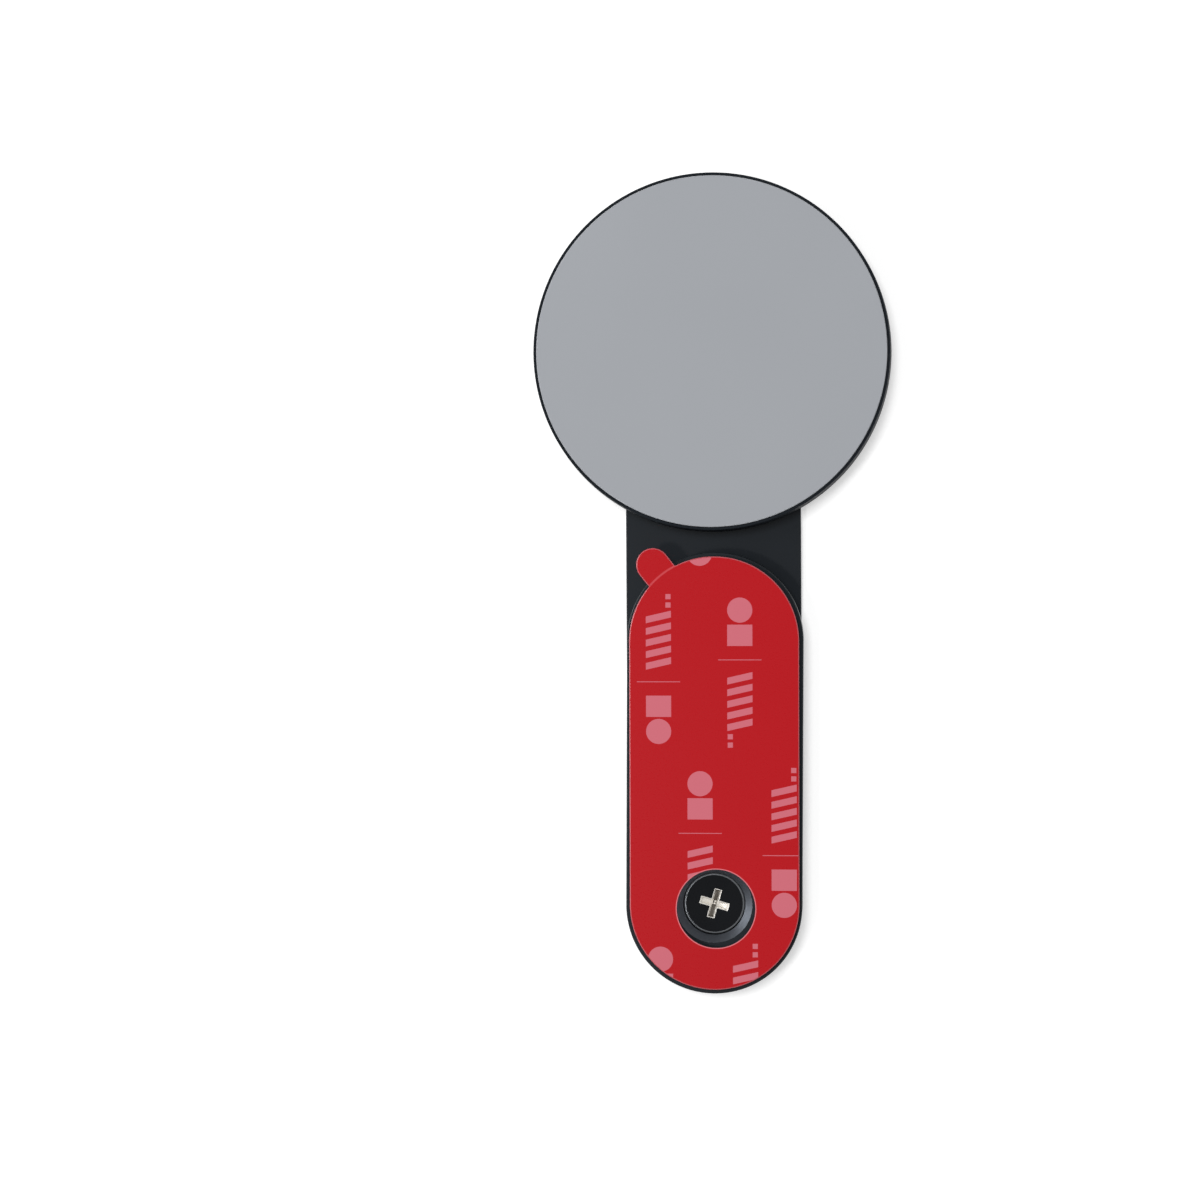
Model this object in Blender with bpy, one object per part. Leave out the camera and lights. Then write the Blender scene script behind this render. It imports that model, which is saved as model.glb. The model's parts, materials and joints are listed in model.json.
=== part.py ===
"""Folding magnetic phone holder, lying on its back.

A flat bar arm carries a round magnet head at one end. At the other end it turns on a screw under
a base plate of the same width, which has double-sided foam tape and its release liner on top.
Metres, +Z up. The arm lies along +Y, and the origin is under the middle of the whole holder.
"""
import math

import bmesh
import bpy

# Arm and base plate, two bars of one width with round ends. The pivot stands a little inside the
# centre of those ends, and the plate is not quite closed over the arm.
BAR_WIDTH = 0.0274
BAR_CHAMFER = 0.00035
ARM_THICKNESS = 0.0020
PLATE_LENGTH = 0.0686
PLATE_THICKNESS = 0.0040
PLATE_TURN = math.radians(-0.5)
PIVOT_OFFSET = -0.0002
HEAD_GAP = 0.0035

# Clearances: thin layers lie this far apart where they are glued or clamped, turning pieces further
SEAT = 0.00005
RUNNING = 0.0001

# Foam tape and release liner, laid by hand and so turned and moved a little on the plate, with
# their hole a little off the screw
TAPE_THICKNESS = 0.0010
TAPE_INSET = 0.00055
TAPE_END_INSET = 0.0007
TAPE_SHIFT = 0.0001
TAPE_TURN = math.radians(0.33)
TAPE_HOLE_RADIUS = 0.0061
TAPE_HOLE_X = 0.00035
TAPE_HOLE_Y = -0.0005
LINER_THICKNESS = 0.00012
TAB_WIDTH = 0.00515
TAB_STICKS_OUT = 0.0046
TAB_ANGLE = math.radians(128.5)

# Pivot: a flanged bush in the arm, and a wafer head screw in a well of the plate, whose mouth is
# countersunk at 45 degrees
BUSH_RADIUS = 0.0030
BUSH_FLANGE_RADIUS = 0.0045
BUSH_FLANGE_THICKNESS = 0.0007
BUSH_END_WALL = 0.0005
SCREW_SHANK_RADIUS = 0.0020
SCREW_HEAD_RADIUS = 0.0047
SCREW_HEAD_THICKNESS = 0.0009
SCREW_HEAD_ROUND = 0.00025
SCREW_TIP_GAP = 0.0001
RECESS_SPAN = 0.0045
RECESS_WIDTH = 0.0010
RECESS_DEPTH = 0.0014
RECESS_TAPER = 0.45
RECESS_TURN = math.radians(-16)
WELL_FLOOR = 0.0008
WELL_CLEARANCE = 0.00015
WELL_TAPER = 0.0011
WASHER_THICKNESS = 0.0003
WAVE_WASHER_THICKNESS = 0.00020
WAVE_HEIGHT = 0.00006
WAVE_COUNT = 3
WAVE_WASHER_INSET = 0.0002
FRICTION_WASHER_RADIUS = 0.0100
FRICTION_WASHER_THICKNESS = 0.0003

# Magnet head, sized from its ring of magnets outwards. Its side leans out a little to the base.
MAGNET_COUNT = 16
MAGNET_RING_RADIUS = 0.0267
MAGNET_WIDTH = 0.0040
MAGNET_THICKNESS = 0.0022
MAGNET_SPACING = 0.0003
YOKE_THICKNESS = 0.0006
YOKE_OVERLAP = 0.0004
CARRIER_LIP = 0.0004
CARRIER_WEB = 0.00035
ADHESIVE_THICKNESS = 0.0001
ADHESIVE_INSET = 0.0004
PAD_THICKNESS = 0.0007
PAD_PROUD = 0.00015
PAD_ROUND = 0.00015
SHELL_WALL = 0.0004
SHELL_LEAN = 0.0003
SHELL_FLOOR = 0.0010
SHELL_CHAMFER = 0.0004
SHELL_RIM_ROUND = 0.00015

# Screws from the head shell into the arm
HEAD_SCREW_COUNT = 4
HEAD_SCREW_EDGE = 0.0057
HEAD_SCREW_RADIUS = 0.00125
HEAD_SCREW_HEAD_RADIUS = 0.00225
HEAD_SCREW_HEAD_THICKNESS = 0.0008
HEAD_SCREW_SOCKET_WIDTH = 0.0013
HEAD_SCREW_SOCKET_DEPTH = 0.0006
HEAD_SCREW_END_WALL = 0.0005

# Facets in a full circle
BAR_FACETS = 96
HEAD_FACETS = 96
PIVOT_FACETS = 64
SMALL_FACETS = 32
MAGNET_FACETS = 6
BEYOND = 0.0010

# Heights, each layer a seat above the one below
FRICTION_Z = ARM_THICKNESS + SEAT
PLATE_Z = FRICTION_Z + FRICTION_WASHER_THICKNESS + SEAT
TAPE_Z = PLATE_Z + PLATE_THICKNESS + SEAT
LINER_Z = TAPE_Z + TAPE_THICKNESS + SEAT
WASHER_Z = PLATE_Z + WELL_FLOOR + SEAT
WAVE_Z = WASHER_Z + WASHER_THICKNESS + SEAT
BUSH_TOP = WAVE_Z + WAVE_WASHER_THICKNESS + 2 * WAVE_HEIGHT
SCREW_HEAD_Z = BUSH_TOP + SEAT
SHELL_Z = ARM_THICKNESS + SEAT
YOKE_Z = SHELL_Z + SHELL_FLOOR + SEAT
MAGNET_Z = YOKE_Z + YOKE_THICKNESS + SEAT
CARRIER_TOP = MAGNET_Z + MAGNET_THICKNESS + SEAT + CARRIER_WEB
ADHESIVE_Z = CARRIER_TOP + SEAT
PAD_Z = ADHESIVE_Z + ADHESIVE_THICKNESS + SEAT
SHELL_TOP = PAD_Z + PAD_THICKNESS - PAD_PROUD

# Radii of the head, and of the well and its washers
CARRIER_RADIUS = MAGNET_RING_RADIUS + SEAT + CARRIER_LIP
CAVITY_RADIUS = CARRIER_RADIUS + SEAT
HEAD_RADIUS = CAVITY_RADIUS + SHELL_WALL
HEAD_BASE_RADIUS = HEAD_RADIUS + SHELL_LEAN
PAD_RADIUS = CAVITY_RADIUS - SEAT
WASHER_BORE = BUSH_RADIUS + RUNNING
WELL_RADIUS = SCREW_HEAD_RADIUS + WELL_CLEARANCE
WELL_MOUTH = WELL_RADIUS + WELL_TAPER

# Places along the arm, from the pivot
BAR_RADIUS = BAR_WIDTH / 2
PLATE_FAR = PIVOT_OFFSET + PLATE_LENGTH - BAR_WIDTH
HEAD_CENTRE = PLATE_FAR + BAR_RADIUS + HEAD_GAP + HEAD_RADIUS
HEAD_SCREW_CIRCLE = BAR_RADIUS - HEAD_SCREW_EDGE
NEAR_END = BAR_RADIUS - PIVOT_OFFSET
TOTAL_LENGTH = NEAR_END + HEAD_CENTRE + HEAD_BASE_RADIUS
PIVOT_Y = NEAR_END - TOTAL_LENGTH / 2


def material(name, colour, roughness, metallic=0.0):
    mat = bpy.data.materials.new(name)
    mat.use_nodes = True
    shader = mat.node_tree.nodes["Principled BSDF"]
    shader.inputs["Base Color"].default_value = (*colour, 1.0)
    shader.inputs["Roughness"].default_value = roughness
    shader.inputs["Metallic"].default_value = metallic
    mat.diffuse_color = (*colour, 1.0)
    return mat


def make_object(name, bm, parent, location=(0, 0, 0), mat=None):
    """Turn a bmesh into a smooth-shaded object whose flat faces keep sharp borders."""
    bmesh.ops.recalc_face_normals(bm, faces=bm.faces)
    mesh = bpy.data.meshes.new(name)
    bm.to_mesh(mesh)
    bm.free()
    mesh.shade_smooth()
    mesh.set_sharp_from_angle(angle=math.radians(30))
    obj = bpy.data.objects.new(name, mesh)
    bpy.context.collection.objects.link(obj)
    obj.parent = parent
    obj.location = location
    if mat:
        mesh.materials.append(mat)
    return obj


def cut(target, cutter):
    """Take the cutter's shape out of the target with a live modifier."""
    cutter.hide_render = True
    cutter.display_type = "WIRE"
    boolean = target.modifiers.new(cutter.name, "BOOLEAN")
    boolean.operation = "DIFFERENCE"
    boolean.solver = "EXACT"
    boolean.object = cutter


def turned(profile, facets):
    """A solid of revolution about Z from a closed profile of (radius, height) points."""
    bm = bmesh.new()
    points = [bm.verts.new((radius, 0, height)) for radius, height in profile]
    edges = [bm.edges.new((point, points[i - 1])) for i, point in enumerate(points)]
    bmesh.ops.spin(bm, geom=points + edges, cent=(0, 0, 0), axis=(0, 0, 1), angle=math.tau,
                   steps=facets, use_merge=True)
    bmesh.ops.remove_doubles(bm, verts=bm.verts, dist=1e-7)
    poles = [vert for vert in bm.verts if vert.co.xy.length < 1e-7]
    bmesh.ops.dissolve_verts(bm, verts=poles)
    return bm


def ring(inner, outer, thickness, facets):
    return turned([(inner, 0), (outer, 0), (outer, thickness), (inner, thickness)], facets)


def disc(radius, thickness, facets):
    return turned([(0, 0), (radius, 0), (radius, thickness), (0, thickness)], facets)


def arc(centre, radius, start, end, steps):
    """Points on an arc from one angle to another, both ends included."""
    angles = [start + (end - start) * i / steps for i in range(steps + 1)]
    return [(centre[0] + radius * math.cos(a), centre[1] + radius * math.sin(a)) for a in angles]


def slab(outline, thickness, chamfer=0.0):
    """Extrude a flat outline, with its top and bottom edges chamfered alike."""
    bm = bmesh.new()
    bottom = bm.faces.new([bm.verts.new((x, y, 0)) for x, y in outline])
    raised = bmesh.ops.extrude_face_region(bm, geom=[bottom], use_keep_orig=True)["geom"]
    bmesh.ops.translate(bm, vec=(0, 0, thickness),
                        verts=[item for item in raised if isinstance(item, bmesh.types.BMVert)])
    if chamfer:
        flat = [edge for edge in bm.edges if edge.verts[0].co.z == edge.verts[1].co.z]
        bmesh.ops.bevel(bm, geom=flat, offset=chamfer, segments=1, affect="EDGES")
    return bm


def bar_outline(radius, start_y, end_y):
    """A bar with round ends, whose end centres lie on the Y axis."""
    steps = BAR_FACETS // 2
    return (arc((0, start_y), radius, math.pi, math.tau, steps)
            + arc((0, end_y), radius, 0, math.pi, steps))


def tabbed_outline(radius, start_y, end_y):
    """The bar outline with a round-ended pull tab on the arc at its far end."""
    steps = BAR_FACETS // 2
    half_width = TAB_WIDTH / 2
    half_angle = math.asin(half_width / radius)
    reach = radius + TAB_STICKS_OUT - half_width
    tab_centre = (reach * math.cos(TAB_ANGLE), end_y + reach * math.sin(TAB_ANGLE))
    before, after = TAB_ANGLE - half_angle, TAB_ANGLE + half_angle
    return (arc((0, start_y), radius, math.pi, math.tau, steps)
            + arc((0, end_y), radius, 0, before, round(steps * before / math.pi))
            + arc(tab_centre, half_width, TAB_ANGLE - math.pi / 2, TAB_ANGLE + math.pi / 2,
                  SMALL_FACETS // 2)
            + arc((0, end_y), radius, after, math.pi, round(steps * (1 - after / math.pi))))


def wafer_screw(shank_radius, shank_length, head_radius, head_thickness, head_round, facets):
    """A screw with a low flat head. Its origin is on the axis, under the head."""
    return turned([(0, -shank_length), (shank_radius, -shank_length), (shank_radius, 0),
                   (head_radius, 0), (head_radius, head_thickness - head_round),
                   (head_radius - head_round, head_thickness), (0, head_thickness)], facets)


def recess_blade():
    """One blade of the cross recess, at full size at z = 0 and narrowing downwards."""
    bm = bmesh.new()
    bmesh.ops.create_cube(bm, size=1)
    top_scale = 1 + (1 - RECESS_TAPER) * BEYOND / RECESS_DEPTH
    for vert in bm.verts:
        narrow = top_scale if vert.co.z > 0 else RECESS_TAPER
        vert.co.x *= RECESS_SPAN * narrow
        vert.co.y *= RECESS_WIDTH * narrow
        vert.co.z = BEYOND if vert.co.z > 0 else -RECESS_DEPTH
    return bm


def build_arm(parent, mat):
    outline = bar_outline(BAR_RADIUS, PIVOT_OFFSET, HEAD_CENTRE)
    arm = make_object("arm", slab(outline, ARM_THICKNESS, BAR_CHAMFER), parent, mat=mat)
    flange_pocket = BUSH_FLANGE_THICKNESS + 2 * SEAT
    bush_hole = turned([(0, -BEYOND), (BUSH_FLANGE_RADIUS + SEAT, -BEYOND),
                        (BUSH_FLANGE_RADIUS + SEAT, flange_pocket), (BUSH_RADIUS + SEAT, flange_pocket),
                        (BUSH_RADIUS + SEAT, ARM_THICKNESS + BEYOND),
                        (0, ARM_THICKNESS + BEYOND)], PIVOT_FACETS)
    cut(arm, make_object("arm_bush_hole", bush_hole, parent))
    for number, place in enumerate(head_screw_places(), 1):
        depth = ARM_THICKNESS - HEAD_SCREW_END_WALL
        hole = disc(HEAD_SCREW_RADIUS + SEAT, depth + BEYOND, SMALL_FACETS)
        cut(arm, make_object(f"arm_screw_hole_{number}", hole, parent,
                             (*place, HEAD_SCREW_END_WALL)))


def head_screw_places():
    """The head's screws stand on a circle about its centre, between the arm's sides and axis."""
    turns = [math.tau * (i + 0.5) / HEAD_SCREW_COUNT for i in range(HEAD_SCREW_COUNT)]
    return [(HEAD_SCREW_CIRCLE * math.cos(a), HEAD_CENTRE + HEAD_SCREW_CIRCLE * math.sin(a))
            for a in turns]


def build_head(parent, mats):
    centre = (0, HEAD_CENTRE)
    height = SHELL_TOP - SHELL_Z
    shell = make_object("head_shell", turned([
        (0, 0), (HEAD_BASE_RADIUS - SHELL_CHAMFER, 0), (HEAD_BASE_RADIUS, SHELL_CHAMFER),
        (HEAD_RADIUS, height - SHELL_RIM_ROUND), (HEAD_RADIUS - SHELL_RIM_ROUND, height),
        (CAVITY_RADIUS, height), (CAVITY_RADIUS, SHELL_FLOOR), (0, SHELL_FLOOR)],
        HEAD_FACETS), parent, (*centre, SHELL_Z), mats["anodised"])

    bore = MAGNET_RING_RADIUS - MAGNET_WIDTH
    make_object("yoke_ring", ring(bore - YOKE_OVERLAP, MAGNET_RING_RADIUS, YOKE_THICKNESS, HEAD_FACETS),
                parent, (*centre, YOKE_Z), mats["steel"])

    pitch = math.tau / MAGNET_COUNT
    half = (pitch - MAGNET_SPACING / bore) / 2
    magnet_outline = (arc((0, 0), MAGNET_RING_RADIUS, -half, half, MAGNET_FACETS)
                      + arc((0, 0), bore, half, -half, MAGNET_FACETS))
    for number in range(1, MAGNET_COUNT + 1):
        magnet = make_object(f"magnet_{number:02d}", slab(magnet_outline, MAGNET_THICKNESS), parent,
                             (*centre, MAGNET_Z), mats["plating"])
        magnet.rotation_euler.z = pitch * number

    groove_top = CARRIER_TOP - CARRIER_WEB - YOKE_Z
    carrier_height = CARRIER_TOP - YOKE_Z
    step = YOKE_THICKNESS + SEAT
    core = bore - SEAT
    core_step = core - YOKE_OVERLAP
    carrier = make_object("magnet_carrier", turned([
        (0, 0), (core_step, 0), (core_step, step), (core, step), (core, groove_top),
        (MAGNET_RING_RADIUS + SEAT, groove_top), (MAGNET_RING_RADIUS + SEAT, 0), (CARRIER_RADIUS, 0),
        (CARRIER_RADIUS, carrier_height), (0, carrier_height)], HEAD_FACETS),
        parent, (*centre, YOKE_Z), mats["moulding"])

    make_object("pad_adhesive", disc(PAD_RADIUS - ADHESIVE_INSET, ADHESIVE_THICKNESS, HEAD_FACETS),
                parent, (*centre, ADHESIVE_Z), mats["adhesive"])
    make_object("face_pad", turned([
        (0, 0), (PAD_RADIUS, 0), (PAD_RADIUS, PAD_THICKNESS - PAD_ROUND),
        (PAD_RADIUS - PAD_ROUND, PAD_THICKNESS), (0, PAD_THICKNESS)], HEAD_FACETS),
        parent, (*centre, PAD_Z), mats["silicone"])

    shank = YOKE_Z - HEAD_SCREW_END_WALL - SEAT
    for number, place in enumerate(head_screw_places(), 1):
        screw = make_object(f"head_screw_{number}", wafer_screw(
            HEAD_SCREW_RADIUS, shank, HEAD_SCREW_HEAD_RADIUS, HEAD_SCREW_HEAD_THICKNESS, SEAT,
            SMALL_FACETS), parent, (*place, YOKE_Z), mats["steel"])
        socket = disc(HEAD_SCREW_SOCKET_WIDTH / math.sqrt(3), HEAD_SCREW_SOCKET_DEPTH + BEYOND, 6)
        cut(screw, make_object(f"socket_{number}", socket, parent, (
            *place, YOKE_Z + HEAD_SCREW_HEAD_THICKNESS - HEAD_SCREW_SOCKET_DEPTH)))
        shell_hole = disc(HEAD_SCREW_RADIUS + RUNNING, SHELL_FLOOR + 2 * BEYOND, SMALL_FACETS)
        cut(shell, make_object(f"shell_screw_hole_{number}", shell_hole, parent,
                               (*place, SHELL_Z - BEYOND)))
        pocket = disc(HEAD_SCREW_HEAD_RADIUS + RUNNING, HEAD_SCREW_HEAD_THICKNESS + RUNNING + BEYOND,
                      SMALL_FACETS)
        cut(carrier, make_object(f"carrier_pocket_{number}", pocket, parent,
                                 (*place, YOKE_Z - BEYOND)))


def build_base(parent, mats):
    outline = bar_outline(BAR_RADIUS, PIVOT_OFFSET, PLATE_FAR)
    plate = make_object("base_plate", slab(outline, PLATE_THICKNESS, BAR_CHAMFER), parent,
                        (0, 0, PLATE_Z), mats["anodised"])
    well = turned([
        (0, -BEYOND), (WASHER_BORE, -BEYOND), (WASHER_BORE, WELL_FLOOR), (WELL_RADIUS, WELL_FLOOR),
        (WELL_RADIUS, PLATE_THICKNESS - WELL_TAPER), (WELL_MOUTH, PLATE_THICKNESS),
        (WELL_MOUTH, PLATE_THICKNESS + BEYOND), (0, PLATE_THICKNESS + BEYOND)], PIVOT_FACETS)
    cut(plate, make_object("plate_well", well, parent, (0, 0, PLATE_Z)))

    tape_radius = BAR_RADIUS - TAPE_INSET
    half_span = (PLATE_FAR - PIVOT_OFFSET) / 2 + TAPE_INSET - TAPE_END_INSET
    middle = (PLATE_FAR + PIVOT_OFFSET) / 2 + TAPE_SHIFT
    layers = (
        ("foam_tape", bar_outline, TAPE_THICKNESS, TAPE_Z, "foam"),
        ("release_liner", tabbed_outline, LINER_THICKNESS, LINER_Z, "film"))
    for name, outline, thickness, height, mat in layers:
        layer = make_object(name, slab(outline(tape_radius, -half_span, half_span), thickness),
                            parent, (0, middle, height), mats[mat])
        layer.rotation_euler.z = TAPE_TURN
        hole = disc(TAPE_HOLE_RADIUS, thickness + 2 * BEYOND, PIVOT_FACETS)
        cut(layer, make_object(f"{name}_hole", hole, parent,
                               (TAPE_HOLE_X, TAPE_HOLE_Y, height - BEYOND)))

    make_object("flat_washer", ring(WASHER_BORE, WELL_RADIUS - RUNNING, WASHER_THICKNESS, PIVOT_FACETS),
                parent, (0, 0, WASHER_Z), mats["steel"])


def build_pivot(parent, mats):
    bush_bottom = SEAT
    make_object("pivot_bush", turned([
        (0, 0), (BUSH_FLANGE_RADIUS, 0), (BUSH_FLANGE_RADIUS, BUSH_FLANGE_THICKNESS),
        (BUSH_RADIUS, BUSH_FLANGE_THICKNESS), (BUSH_RADIUS, BUSH_TOP - bush_bottom),
        (SCREW_SHANK_RADIUS + SEAT, BUSH_TOP - bush_bottom), (SCREW_SHANK_RADIUS + SEAT, BUSH_END_WALL),
        (0, BUSH_END_WALL)], PIVOT_FACETS), parent, (0, 0, bush_bottom), mats["steel"])

    make_object("friction_washer", ring(WASHER_BORE, FRICTION_WASHER_RADIUS, FRICTION_WASHER_THICKNESS,
                                        PIVOT_FACETS), parent, (0, 0, FRICTION_Z), mats["moulding"])

    wave = ring(WASHER_BORE, SCREW_HEAD_RADIUS - WAVE_WASHER_INSET, WAVE_WASHER_THICKNESS, PIVOT_FACETS)
    for vert in wave.verts:
        vert.co.z += WAVE_HEIGHT * math.cos(WAVE_COUNT * math.atan2(vert.co.y, vert.co.x))
    make_object("wave_washer", wave, parent, (0, 0, WAVE_Z + WAVE_HEIGHT), mats["steel"])

    shank = SCREW_HEAD_Z - bush_bottom - BUSH_END_WALL - SCREW_TIP_GAP
    screw = make_object("pivot_screw", wafer_screw(
        SCREW_SHANK_RADIUS, shank, SCREW_HEAD_RADIUS, SCREW_HEAD_THICKNESS, SCREW_HEAD_ROUND,
        PIVOT_FACETS), parent, (0, 0, SCREW_HEAD_Z), mats["blacked"])
    for number in (1, 2):
        blade = make_object(f"recess_blade_{number}", recess_blade(), parent,
                            (0, 0, SCREW_HEAD_Z + SCREW_HEAD_THICKNESS))
        blade.rotation_euler.z = RECESS_TURN + number * math.pi / 2
        cut(screw, blade)


def main():
    for old in list(bpy.data.objects):
        bpy.data.objects.remove(old, do_unlink=True)

    mats = {
        "anodised": material("black anodised aluminium", (0.020, 0.021, 0.024), 0.45, 0.6),
        "silicone": material("grey silicone", (0.36, 0.38, 0.40), 0.75),
        "film": material("red polyester film", (0.47, 0.012, 0.019), 0.35),
        "foam": material("dark grey acrylic foam", (0.045, 0.046, 0.049), 0.8),
        "adhesive": material("clear adhesive", (0.70, 0.70, 0.66), 0.5),
        "moulding": material("black nylon", (0.030, 0.030, 0.032), 0.6),
        "steel": material("zinc plated steel", (0.55, 0.55, 0.56), 0.35, 1.0),
        "plating": material("nickel plating", (0.66, 0.64, 0.60), 0.25, 1.0),
        "blacked": material("blackened steel", (0.018, 0.018, 0.020), 0.35, 0.8),
    }

    frames = {}
    for name, turn in (("base_frame", PLATE_TURN), ("arm_frame", 0)):
        frame = bpy.data.objects.new(name, None)
        frame.location = (0, PIVOT_Y, 0)
        frame.rotation_euler.z = turn
        bpy.context.collection.objects.link(frame)
        frames[name] = frame

    build_base(frames["base_frame"], mats)
    build_arm(frames["arm_frame"], mats["anodised"])
    build_head(frames["arm_frame"], mats)
    build_pivot(frames["arm_frame"], mats)


main()
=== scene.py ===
# %% [markdown]
# # A folding magnetic phone holder
# The holder sticks to the back of a laptop's lid. A flat bar arm carries a round magnet head, and
# turns on a screw under a base plate with foam tape. It lies on its back on a white table.
# The CAD model is loaded first. It is in metres, and each piece below goes where it says.

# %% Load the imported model
import json
import math

import bmesh
import bpy
from mathutils import Euler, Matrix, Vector


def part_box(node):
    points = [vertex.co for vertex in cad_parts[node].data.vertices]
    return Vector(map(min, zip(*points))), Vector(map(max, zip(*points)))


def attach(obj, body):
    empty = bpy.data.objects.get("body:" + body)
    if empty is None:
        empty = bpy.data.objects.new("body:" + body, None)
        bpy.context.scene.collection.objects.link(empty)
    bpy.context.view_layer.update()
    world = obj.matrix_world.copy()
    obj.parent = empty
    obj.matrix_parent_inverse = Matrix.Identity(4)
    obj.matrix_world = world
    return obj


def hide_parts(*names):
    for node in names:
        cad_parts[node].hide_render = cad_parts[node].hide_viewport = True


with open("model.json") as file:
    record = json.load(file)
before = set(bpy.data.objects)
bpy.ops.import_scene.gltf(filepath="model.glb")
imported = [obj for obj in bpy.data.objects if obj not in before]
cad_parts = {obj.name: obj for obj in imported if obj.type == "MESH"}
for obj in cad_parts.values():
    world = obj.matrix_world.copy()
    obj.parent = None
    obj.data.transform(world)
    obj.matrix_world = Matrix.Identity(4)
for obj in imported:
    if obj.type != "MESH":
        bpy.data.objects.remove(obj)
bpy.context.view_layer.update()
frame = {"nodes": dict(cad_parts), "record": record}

MM = 0.001


def in_mm(corners):
    """The corners of a box in millimetres, for printing."""
    return [[round(value / MM, 2) for value in corner] for corner in corners]


# %% [markdown]
# ## Sizes
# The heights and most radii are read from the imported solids. The turns are repeated here, because
# a box doesn't tell them: the plate isn't quite closed over the arm, and the tape was laid by
# hand. The plate's length is repeated as well, because its turned box is a little shorter.

# %% Read the sizes
PIVOT = frame["record"]["behaviour"]["joints"][0]["pos_m"][:2]
PLATE_TURN = math.radians(-0.5)
TAPE_TURN = math.radians(0.33)
PLATE_LENGTH = 68.6 * MM
PIVOT_OFFSET = -0.2 * MM

arm_low, arm_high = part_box("arm")
head_low, head_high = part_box("head_shell")
pad_low, pad_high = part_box("face_pad")
plate_low, plate_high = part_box("base_plate")
foam_low, foam_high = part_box("foam_tape")
film_low, film_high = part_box("release_liner")
screw_low, screw_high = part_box("pivot_screw")
bush_low, bush_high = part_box("pivot_bush")

bar_radius = (arm_high[0] - arm_low[0]) / 2
head_radius = (head_high[0] - head_low[0]) / 2
head_centre = (0.0, (head_low[1] + head_high[1]) / 2)
print("pivot, bar width and head base, mm:", in_mm([PIVOT, [2 * bar_radius], [2 * head_radius]]))

# %% [markdown]
# ## Tools for modelling
# Each piece is modelled about the world's origin, with its real heights, as a turner or miller
# would hold it. It is moved to its place at the end, and that place is written into its mesh.
# An operator acts on all that is selected, so the selection is always cleared first.

# %% Select by place, and settle a finished piece
TINY = 1e-6


def choose(piece):
    """Select one piece alone."""
    bpy.ops.object.select_all(action="DESELECT")
    bpy.context.view_layer.objects.active = piece
    piece.select_set(True)


def select_where(kind, test):
    """In edit mode, select just the vertices, edges or faces that pass the test."""
    bpy.ops.mesh.select_all(action="DESELECT")
    bpy.ops.mesh.select_mode(type=kind)
    mesh = bmesh.from_edit_mesh(bpy.context.object.data)
    items = {"VERT": mesh.verts, "EDGE": mesh.edges, "FACE": mesh.faces}[kind]
    for item in items:
        item.select_set(bool(test(item)))
    bmesh.update_edit_mesh(bpy.context.object.data)


def edit(piece):
    """Select one piece alone and open it in edit mode."""
    choose(piece)
    bpy.ops.object.mode_set(mode="EDIT")


def close():
    """Merge doubled points, point the faces outwards and leave edit mode."""
    bpy.ops.mesh.select_all(action="SELECT")
    bpy.ops.mesh.remove_doubles(threshold=TINY)
    bpy.ops.mesh.normals_make_consistent(inside=False)
    bpy.ops.object.mode_set(mode="OBJECT")


def settle(piece, place, turn=0.0):
    """Turn a piece about the vertical axis, move it, and write both into its mesh."""
    choose(piece)
    piece.location = (*place, 0.0)
    piece.rotation_euler = (0.0, 0.0, turn)
    bpy.ops.object.transform_apply(location=True, rotation=True, scale=True)


# %% [markdown]
# ## A bar with round ends
# The arm, the plate, the tape and the film are all bars with round ends. Such an outline is a
# circle whose far half is moved away, and the bar is that outline raised. A cube with rounded
# corners would need its corners set by hand, and this way the ends are true half circles.

# %% Make a bar
END_POINTS = 192


def bar(name, radius, near, far, bottom, top):
    """A bar along Y. near and far are the centres of its round ends."""
    bpy.ops.object.select_all(action="DESELECT")
    bpy.ops.mesh.primitive_circle_add(vertices=END_POINTS, radius=radius, fill_type="NGON",
                                      location=(0, near, bottom),
                                      rotation=(0, 0, math.pi / END_POINTS))
    bpy.ops.object.transform_apply(location=True, rotation=True, scale=True)
    piece = bpy.context.object
    piece.name = piece.data.name = name
    edit(piece)
    select_where("VERT", lambda vert: vert.co.y > near)
    bpy.ops.transform.translate(value=(0, far - near, 0))
    bpy.ops.mesh.select_all(action="SELECT")
    bpy.ops.mesh.extrude_region_move(TRANSFORM_OT_translate={"value": (0, 0, top - bottom)})
    close()
    return piece


# %% [markdown]
# ## Turned pieces
# The magnet head, the screw and its bush are turned on a lathe. Half of the section is drawn by
# extruding one point from corner to corner, and the outline is then spun round the axis. Stacked
# cylinders would leave hidden walls inside, and a spun section is one clean skin.

# %% Spin a section
def turned(name, section, steps=128):
    """A closed section of (radius, height) points, spun round the Z axis."""
    bpy.ops.object.select_all(action="DESELECT")
    radius, height = section[0]
    bpy.ops.mesh.primitive_plane_add(size=MM, location=(radius, 0, height))
    bpy.ops.object.transform_apply(location=True, rotation=True, scale=True)
    piece = bpy.context.object
    piece.name = piece.data.name = name
    edit(piece)
    bpy.ops.mesh.select_mode(type="VERT")
    bpy.ops.mesh.select_all(action="SELECT")
    bpy.ops.mesh.merge(type="CENTER")
    for (radius, height), (next_radius, next_height) in zip(section, section[1:] + section[:1]):
        step = (next_radius - radius, 0, next_height - height)
        bpy.ops.mesh.extrude_vertices_move(TRANSFORM_OT_translate={"value": step})
    bpy.ops.mesh.select_all(action="SELECT")
    bpy.ops.mesh.remove_doubles(threshold=TINY)
    bpy.ops.mesh.spin(steps=steps, angle=math.tau, center=(0, 0, 0), axis=(0, 0, 1))
    bpy.ops.mesh.select_all(action="SELECT")
    bpy.ops.mesh.remove_doubles(threshold=TINY)
    bpy.ops.mesh.delete_loose(use_verts=True, use_edges=True, use_faces=False)
    close()
    return piece


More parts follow.
